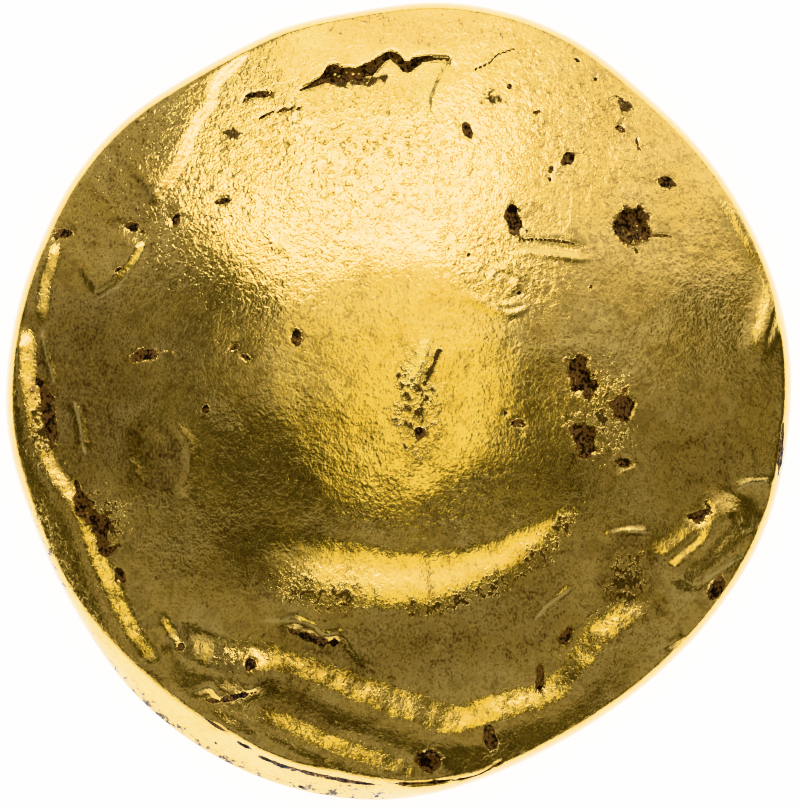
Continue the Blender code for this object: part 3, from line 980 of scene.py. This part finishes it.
@dataclass(frozen=True)
class WornGold:
    """The coin's worn gold, with its scratches, hammer marks, brown film and earth, and with painted highlights
    on its crests and painted shade in its hammer chips.

    A noise is given by its scale, detail and distortion. A step is given by where it starts and
    ends, and by its first and last value where these aren't nought and one.
    """

    gold: tuple = (0.93, 0.63, 0.16, 1.0)
    deep_gold: tuple = (0.85, 0.55, 0.12, 1.0)
    # Pale gold painted as the highlight on crests and threads, with rubbed wear.
    highlight_pale_gold: tuple = (1.0, 0.71, 0.19, 1.0)
    valley_brown: tuple = (0.36, 0.22, 0.06, 1.0)
    # Dark colour painted into the hammer chips as their shade.
    chip_shade_brown: tuple = (0.10, 0.058, 0.010, 1.0)
    film_brown: tuple = (0.24, 0.14, 0.045, 1.0)
    deposit_brown: tuple = (0.085, 0.050, 0.018, 1.0)
    crumb_brown: tuple = (0.17, 0.085, 0.028, 1.0)
    earth_black: tuple = (0.010, 0.006, 0.0025, 1.0)
    smooth_roughness: float = 0.055
    dull_roughness: float = 0.13
    earth_roughness: float = 0.75
    grain_height: float = 0.0030
    dent_height: float = 0.0040
    hammer_height: float = 0.010
    chip_depth: float = 0.007
    pucker_height: float = 0.006
    scratch_depth: float = 0.0006
    crust_height: float = 0.03
    grain_turn: float = math.radians(14)
    grain_stretch: tuple = (1.2, 0.8, 1.0)
    grain_noise: tuple = (17.0, 3.0)
    dent_noise: tuple = (7.0, 2.5, 1.2)
    coarse_noise: tuple = (5.5, 3.0, 0.6)
    cloud_noise: tuple = (1.1, 3.0)
    blotch_noise: tuple = (2.6, 4.0, 0.8)
    film_edge: float = 0.42
    deposit_edge: float = 0.52
    edge_below: float = 0.16
    edge_above: float = 0.2
    stain_present: tuple = (0.02, 0.15)
    stain_tear: tuple = (0.8, 1.3, -1.17)
    deposit_thickness: tuple = (0.42, 0.60, 0.95, 0.45)
    metal_step: tuple = (0.4, 1.0, 1.0, 0.06)
    specular_level: float = 0.2
    dull_step: tuple = (0.35, 0.7)
    film_dullness: float = 0.06
    pit_tear: float = 0.6
    pit_step: tuple = (-0.25, 0.22)
    glint_step: tuple = (0.31, 0.38)
    glint_strength: float = 0.7
    gold_step: tuple = (0.3, 0.7)
    tarnish_step: tuple = (0.48, 0.66, 0.0, 0.32)
    film_step: tuple = (0.40, 0.60, 0.12, 0.75)
    valley_step: tuple = (0.40, 0.52, 0.55, 0.0)
    chip_shade_step: tuple = (0.55, 0.62, 0.0, 0.85)
    rub_highlight_tear: float = 0.8
    rub_highlight_step: tuple = (0.6, 1.15)
    dust_step: tuple = (0.0, 0.5)
    crumb_step: tuple = (0.20, 0.30)
    earth_step: tuple = (0.0, 0.45)
    chip_step: tuple = (0.57, 0.63)
    scratch_sets: tuple = ((1.2, 0.5, 0.014, 1.0), (2.9, 0.3, 0.010, 0.7))

    def material(self) -> bpy.types.Material:
        """Returns the finish as a material."""
        made = bpy.data.materials.new("worn_gold")
        made.use_nodes = True
        wires = Wiring(made.node_tree)
        shader = made.node_tree.nodes["Principled BSDF"]
        spot = wires.add("TexCoord").outputs["Object"]
        place = wires.add("VectorMath", {"operation": "SCALE"}, Vector=spot, Scale=1.0 / MILLIMETRE).outputs[0]
        turn = (0.0, 0.0, self.grain_turn)
        brushed = wires.add("Mapping", None, Vector=place, Rotation=turn, Scale=self.grain_stretch)
        grain = wires.noise(brushed.outputs[0], *self.grain_noise)
        dents = wires.noise(place, *self.dent_noise)
        coarse = wires.noise(place, *self.coarse_noise)
        cloud = wires.noise(place, *self.cloud_noise)
        blotch = wires.noise(place, *self.blotch_noise)
        film = self.ragged(wires, Stain.FILM, dents, grain, self.film_edge)
        thick = wires.between(grain, *self.deposit_thickness)
        lying = self.ragged(wires, Stain.DEPOSIT, coarse, grain, self.deposit_edge)
        deposit = wires.math("MULTIPLY", lying, thick)
        pit = self.earth(wires, coarse, grain)
        dirt = wires.math("MAXIMUM", deposit, pit)
        bare = self.bare_gold(wires, (cloud, blotch), dents, grain, film)
        wires.join(shader.inputs["Base Color"], self.earthed(wires, bare, coarse, grain, deposit, pit))
        wires.join(shader.inputs["Metallic"], wires.between(dirt, *self.metal_step))
        shader.inputs["Specular IOR Level"].default_value = self.specular_level
        dull = wires.between(cloud, *self.dull_step, self.smooth_roughness, self.dull_roughness)
        dull = wires.math("MULTIPLY_ADD", film, self.film_dullness, dull)
        rough = wires.between(dirt, 0.0, 1.0, dull, self.earth_roughness)
        wires.join(shader.inputs["Roughness"], rough)
        height = self.relief(wires, place, (grain, dents, coarse), dirt)
        bump = wires.add("Bump", None, Height=height, Distance=MILLIMETRE)
        wires.join(shader.inputs["Normal"], bump.outputs["Normal"])
        return made

    def ragged(
        self, wires: Wiring, kind: Stain, coarse: object, grain: object, edge: float
    ) -> bpy.types.NodeSocket:
        """Returns a stain's mask, broken up by coarse and fine noise."""
        fine_share, strength, shift = self.stain_tear
        broken = wires.math("MULTIPLY_ADD", grain, fine_share, coarse)
        spread = wires.math("MULTIPLY_ADD", broken, strength, shift)
        total = wires.math("ADD", wires.mark(kind), spread)
        shown = wires.between(total, edge - self.edge_below, edge + self.edge_above)
        present = wires.between(wires.mark(kind), *self.stain_present)
        return wires.math("MULTIPLY", shown, present)

    def earth(self, wires: Wiring, coarse: object, grain: object) -> bpy.types.NodeSocket:
        """Returns the mask of the earth in pits and cracks, with a few glints of gold in it."""
        torn = wires.math("MULTIPLY_ADD", wires.math("ADD", coarse, grain), self.pit_tear, -self.pit_tear)
        full = wires.between(wires.math("ADD", wires.mark(Stain.PIT), torn), *self.pit_step)
        glint = wires.between(wires.math("MULTIPLY", coarse, grain), *self.glint_step)
        return wires.math("MULTIPLY", full, wires.math("MULTIPLY_ADD", glint, -self.glint_strength, 1.0))

    def bare_gold(
        self, wires: Wiring, clouds: tuple, dents: object, grain: object, film: object
    ) -> bpy.types.NodeSocket:
        """Returns the gold's colour with dirt in its fine valleys, its brown film, painted shade in its hammer
        chips, and pale painted highlights with rubbed wear on its crests and threads.
        """
        cloud, blotch = clouds
        gold = wires.mixed(wires.between(cloud, *self.gold_step), self.gold, self.deep_gold)
        tarnish = wires.between(blotch, *self.tarnish_step)
        thick = wires.math("MULTIPLY", film, wires.between(grain, *self.film_step))
        filmed = wires.mixed(wires.math("ADD", thick, tarnish), gold, self.film_brown)
        mean = wires.math("MULTIPLY", wires.math("ADD", dents, grain), 0.5)
        valley = wires.between(mean, *self.valley_step)
        # Painted shade: dark specks in the hammer chips, where the dents' shading falls.
        chip_shade = wires.math("MULTIPLY", wires.between(dents, *self.chip_shade_step), wires.mark(Stain.HAMMER))
        lined = wires.mixed(chip_shade, wires.mixed(valley, filmed, self.valley_brown), self.chip_shade_brown)
        # Painted highlight: pale gold where the rub attribute is strong, standing in for light on crests and
        # threads, with rubbed wear.
        worn_and_lit = wires.math("MULTIPLY_ADD", dents, self.rub_highlight_tear, wires.mark(Stain.RUB_AND_HIGHLIGHT))
        rubbed_highlight = wires.between(worn_and_lit, *self.rub_highlight_step)
        return wires.mixed(rubbed_highlight, lined, self.highlight_pale_gold)

    def earthed(
        self, wires: Wiring, gold: object, coarse: object, grain: object, deposit: object, pit: object
    ) -> bpy.types.NodeSocket:
        """Returns the gold's colour with its brown deposit and the earth in its pits."""
        dusty = wires.mixed(wires.between(deposit, *self.dust_step), gold, self.deposit_brown)
        crumbs = wires.between(wires.math("MULTIPLY", coarse, grain), *self.crumb_step)
        filled = wires.between(pit, *self.earth_step)
        return wires.mixed(filled, dusty, wires.mixed(crumbs, self.earth_black, self.crumb_brown))

    def relief(self, wires: Wiring, place: object, noises: tuple, dirt: object) -> bpy.types.NodeSocket:
        """Returns the fine relief's height in millimetres."""
        grain, dents, coarse = noises
        hammer = wires.math("MULTIPLY_ADD", wires.mark(Stain.HAMMER), self.hammer_height, self.dent_height)
        height = wires.math("MULTIPLY_ADD", dents, hammer, wires.math("MULTIPLY", grain, self.grain_height))
        pucker = self.pucker_height
        pucker = wires.math("MULTIPLY_ADD", wires.mark(Stain.HAMMER), 2.0 * pucker, pucker)
        height = wires.math("MULTIPLY_ADD", coarse, pucker, height)
        chips = wires.math("MULTIPLY", wires.between(dents, *self.chip_step), wires.mark(Stain.HAMMER))
        height = wires.math("MULTIPLY_ADD", chips, -self.chip_depth, height)
        scratches = {"node_tree": ScratchGroup().build()}
        for cells, length, width, weight in self.scratch_sets:
            lines = wires.add("Group", scratches, Vector=place, Cells=cells, Length=length, Width=width)
            height = wires.math("MULTIPLY_ADD", lines.outputs["Mask"], -self.scratch_depth * weight, height)
        crust = wires.math("MULTIPLY", wires.math("MULTIPLY", coarse, dirt), self.crust_height)
        return wires.math("ADD", height, crust)


@dataclass(frozen=True)
class CeilingPanel:
    """A soft light in the ceiling. Its edges are degrees off the zenith as the coin sees them."""

    name: str
    left: float
    right: float
    near: float
    far: float
    strength: float
    tint: tuple = (1.0, 1.0, 1.0)
    ceiling: float = 0.25

    def build(self) -> None:
        """Hangs the light, facing down."""
        x0, x1, y0, y1 = (
            self.ceiling * math.tan(math.radians(edge)) for edge in (self.left, self.right, self.near, self.far)
        )
        lamp = bpy.data.lights.new(self.name, "AREA")
        lamp.shape = "RECTANGLE"
        lamp.size, lamp.size_y = x1 - x0, y1 - y0
        lamp.energy = self.strength * lamp.size * lamp.size_y * math.pi
        lamp.color = self.tint
        light = bpy.data.objects.new(self.name, lamp)
        light.location = (0.5 * (x0 + x1), 0.5 * (y0 + y1), self.ceiling)
        light.visible_camera = False
        bpy.context.scene.collection.objects.link(light)


@dataclass
class Studio:
    """The pale table, the soft lights and the camera straight above."""

    lens: float = 250.0
    sensor: float = 36.0
    aim_height: float = 0.0012
    paper_look: float = 9.0
    paper_light: float = 3.4
    paper_tint: tuple = (0.92, 1.06, 1.35, 1.0)
    room_zenith: float = 0.10
    room_horizon: float = 2.2
    high_tint: tuple = (0.96, 1.0, 1.45, 1.0)
    low_tint: tuple = (1.0, 1.02, 0.95, 1.0)
    floor_dim: float = 0.12
    floor_bright: float = 1.6
    open_reach: float = 0.0079
    open_fade: float = 0.96
    white: tuple = (1.0, 1.0, 1.0, 1.0)
    paper_white: tuple = (0.9, 0.9, 0.9, 1.0)
    paper_roughness: float = 0.9
    backdrop_white: tuple = (0.95, 0.95, 0.95, 1.0)
    horizon_band: tuple = (0.10, 0.50)
    floor_slant: tuple = (0.35, 0.85, 0.0)
    floor_band: tuple = (-0.5, 0.8)
    floor_start: tuple = (-0.10, 0.0)
    camera_shift: tuple = (0.03, -0.06)
    clip_shares: tuple = (0.01, 100.0)
    panels: tuple = (
        CeilingPanel("window", -19, 12, 20, 28.5, 13.0, (1.0, 1.08, 1.18)),
        CeilingPanel("window_near", -16, 12, 17.5, 20, 6.0, (1.0, 1.05, 1.05)),
        CeilingPanel("window_far", -19, 13, 28.5, 62, 2.4, (1.0, 1.05, 1.1)),
        CeilingPanel("sill_right", -1, 11, 5, 17.5, 1.7, (1.0, 1.01, 1.0)),
        CeilingPanel("sill_left", -15, -1, 5, 17.5, 1.0, (1.0, 1.01, 1.0)),
        CeilingPanel("left_side", -22, -13, -4, 9, 0.32, (0.98, 1.02, 1.4)),
        CeilingPanel("zenith", -4, 10, -10, 5, 1.35, (1.0, 0.98, 0.6)),
        CeilingPanel("zenith_left", -16, -4, -4, 5, 0.56, (1.0, 0.99, 0.8)),
        CeilingPanel("zenith_right", 10, 15, -9, 6, 0.40),
        CeilingPanel("right_high", 12, 60, 21, 62, 1.15, (1.0, 1.02, 1.25)),
        CeilingPanel("right_mid", 12, 45, 14, 21, 0.78, (1.0, 1.02, 1.25)),
        CeilingPanel("right_low", 12, 31, 3, 14, 0.50, (1.0, 1.02, 1.25)),
        CeilingPanel("right_side", 21, 40, -13, 3, 0.24, (1.0, 1.0, 1.3)),
        CeilingPanel("left_high", -60, -22, 21, 62, 0.43, (1.0, 1.02, 1.25)),
        CeilingPanel("left_mid", -52, -22, 14, 21, 0.32, (1.0, 1.02, 1.35)),
        CeilingPanel("left_low", -46, -27, -14, 14, 0.24, (0.98, 1.02, 1.6)),
        CeilingPanel("near", -50, 50, -50, -15, 0.30, (0.98, 1.01, 1.35)),
    )

    def build(self) -> None:
        """Sets the stage round the coin."""
        self.lay_table()
        for panel in self.panels:
            panel.build()
        self.fill_room()
        self.set_camera()
        bpy.context.scene.view_settings.view_transform = "Khronos PBR Neutral"

    def lay_table(self) -> None:
        """Lays the pale, lit table, which is open under the coin and can be looked through from below."""
        sheet = bmesh.new()
        bmesh.ops.create_grid(sheet, x_segments=1, y_segments=1, size=1.0)
        mesh = bpy.data.meshes.new("table")
        sheet.to_mesh(mesh)
        sheet.free()
        table = bpy.data.objects.new("table", mesh)
        made = bpy.data.materials.new("lit_paper")
        made.use_nodes = True
        wires = Wiring(made.node_tree)
        seen = wires.add("LightPath").outputs["Is Camera Ray"]
        shader = made.node_tree.nodes["Principled BSDF"]
        shader.inputs["Base Color"].default_value = self.paper_white
        shader.inputs["Roughness"].default_value = self.paper_roughness
        wires.join(shader.inputs["Emission Color"], wires.mixed(seen, self.paper_tint, self.white))
        glow = wires.math("MULTIPLY_ADD", seen, self.paper_look - self.paper_light, self.paper_light)
        wires.join(shader.inputs["Emission Strength"], glow)
        spot = wires.add("TexCoord").outputs["Object"]
        reach = wires.add("VectorMath", {"operation": "LENGTH"}, Vector=spot).outputs["Value"]
        hidden = wires.between(reach, self.open_fade * self.open_reach, self.open_reach, 1.0, 0.0)
        below = wires.math("MAXIMUM", wires.add("NewGeometry").outputs["Backfacing"], hidden)
        clear = wires.add("MixShader", None, Fac=below)
        wires.join(clear.inputs[1], shader.outputs["BSDF"])
        wires.join(clear.inputs[2], wires.add("BsdfTransparent").outputs["BSDF"])
        wires.join(made.node_tree.nodes["Material Output"].inputs["Surface"], clear.outputs["Shader"])
        mesh.materials.append(made)
        bpy.context.scene.collection.objects.link(table)

    def fill_room(self) -> None:
        """Fills the room with dim light that grows towards the horizon, and a pale look behind."""
        world = bpy.data.worlds.new("room")
        bpy.context.scene.world = world
        world.use_nodes = True
        world.node_tree.nodes.clear()
        wires = Wiring(world.node_tree)
        out = wires.add("OutputWorld")
        place = wires.add("TexCoord").outputs["Generated"]
        height = wires.add("SeparateXYZ", None, Vector=place).outputs["Z"]
        fill = wires.between(height, *self.horizon_band, self.room_horizon, self.room_zenith)
        slant = wires.add("VectorMath", {"operation": "DOT_PRODUCT"}, Vector=place).outputs["Value"]
        slant.node.inputs[1].default_value = self.floor_slant
        under = wires.between(slant, *self.floor_band, self.floor_dim, self.floor_bright)
        part = wires.between(height, *self.floor_start)
        fill = wires.math("MULTIPLY_ADD", part, wires.math("SUBTRACT", fill, under), under)
        tint = wires.mixed(wires.between(height, *self.horizon_band), self.low_tint, self.high_tint)
        dim = wires.add("Background", None, Color=tint, Strength=fill)
        pale = wires.add("Background", None, Color=self.backdrop_white, Strength=self.paper_look)
        mix = wires.add("MixShader", None, Fac=wires.add("LightPath").outputs["Is Camera Ray"])
        wires.join(mix.inputs[1], dim.outputs["Background"])
        wires.join(mix.inputs[2], pale.outputs["Background"])
        wires.join(out.inputs["Surface"], mix.outputs["Shader"])

    def set_camera(self) -> None:
        """Hangs the camera straight above the coin, framed as the photograph is."""
        lens = bpy.data.cameras.new("camera")
        lens.lens, lens.sensor_width = self.lens, self.sensor
        camera = bpy.data.objects.new("camera", lens)
        half_height = 0.5 * PHOTO_HEIGHT * PIXEL * MILLIMETRE
        distance = half_height * self.lens / (0.5 * self.sensor)
        right, up = self.camera_shift
        camera.location = (right * MILLIMETRE, up * MILLIMETRE, self.aim_height + distance)
        lens.clip_start, lens.clip_end = (share * distance for share in self.clip_shares)
        bpy.context.scene.collection.objects.link(camera)
        bpy.context.scene.camera = camera


def main() -> None:
    """Builds the dressed coin and its stage, and notes its face count."""
    logging.basicConfig(level=logging.INFO)
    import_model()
    coin = CoinBody().build()
    coin.data.materials.append(WornGold().material())
    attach(coin, "root")
    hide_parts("coin")
    LOG.info("%s rides on root with %d faces", coin.name, len(coin.data.polygons))
    Studio().build()


if __name__ == "__main__":
    main()
